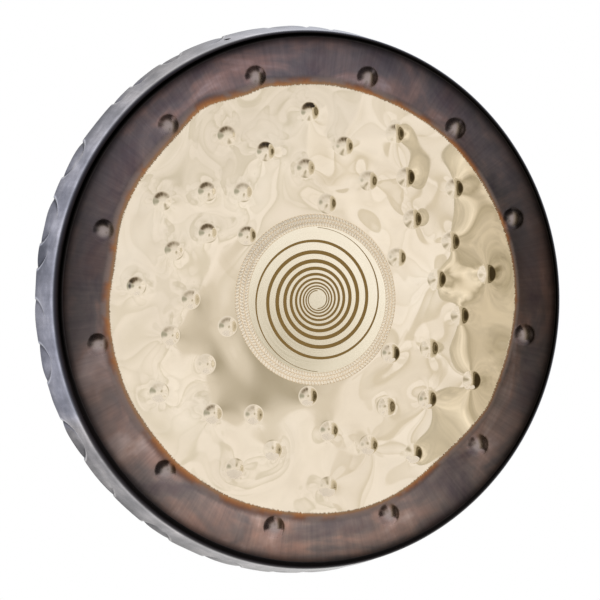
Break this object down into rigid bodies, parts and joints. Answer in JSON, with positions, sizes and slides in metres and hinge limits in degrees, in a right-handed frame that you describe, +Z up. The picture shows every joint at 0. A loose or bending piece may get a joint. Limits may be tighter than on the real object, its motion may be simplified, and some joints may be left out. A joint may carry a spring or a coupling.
{
  "type": "tam tam gong",
  "caption": "Round bronze gong with a polished bossed face, dark oxidised ring, knurled raised centre with an engraved spiral, and a deep turned-back rim.",
  "frame": {"origin": "centre of the bounding box, on the gong's own axis and half way through its depth", "axes": "+Z up as the gong hangs, towards the two hanging holes; the playing face looks along -Y and the open back along +Y; +X to the right seen from the front"},
  "size_m": [0.8039, 0.077, 0.804],
  "materials": {
    "rim_bronze": "hammered, blue-grey scale",
    "shoulder_bronze": "satin, near black",
    "oxide": "brushed dark oxide",
    "burnished": "burnished copper brown",
    "polished": "mirror polish",
    "collar": "punched and polished",
    "plate": "fine satin polish",
    "engraving": "matt engraved line"
  },
  "bodies": {
    "root": {"back_edge": "rim_bronze", "rim_wall": "rim_bronze", "shoulder": "shoulder_bronze", "oxide_ring": "oxide", "rim_bosses": "oxide", "burnished_band": "burnished", "polished_face": "polished", "boss_ring_1": "polished", "boss_ring_2": "polished", "boss_ring_3": "polished", "boss_ring_4": "polished", "knurled_collar": "collar", "centre_plate": "plate", "spiral_arm_a": "engraving", "spiral_arm_b": "engraving"}
  },
  "joints": []
}
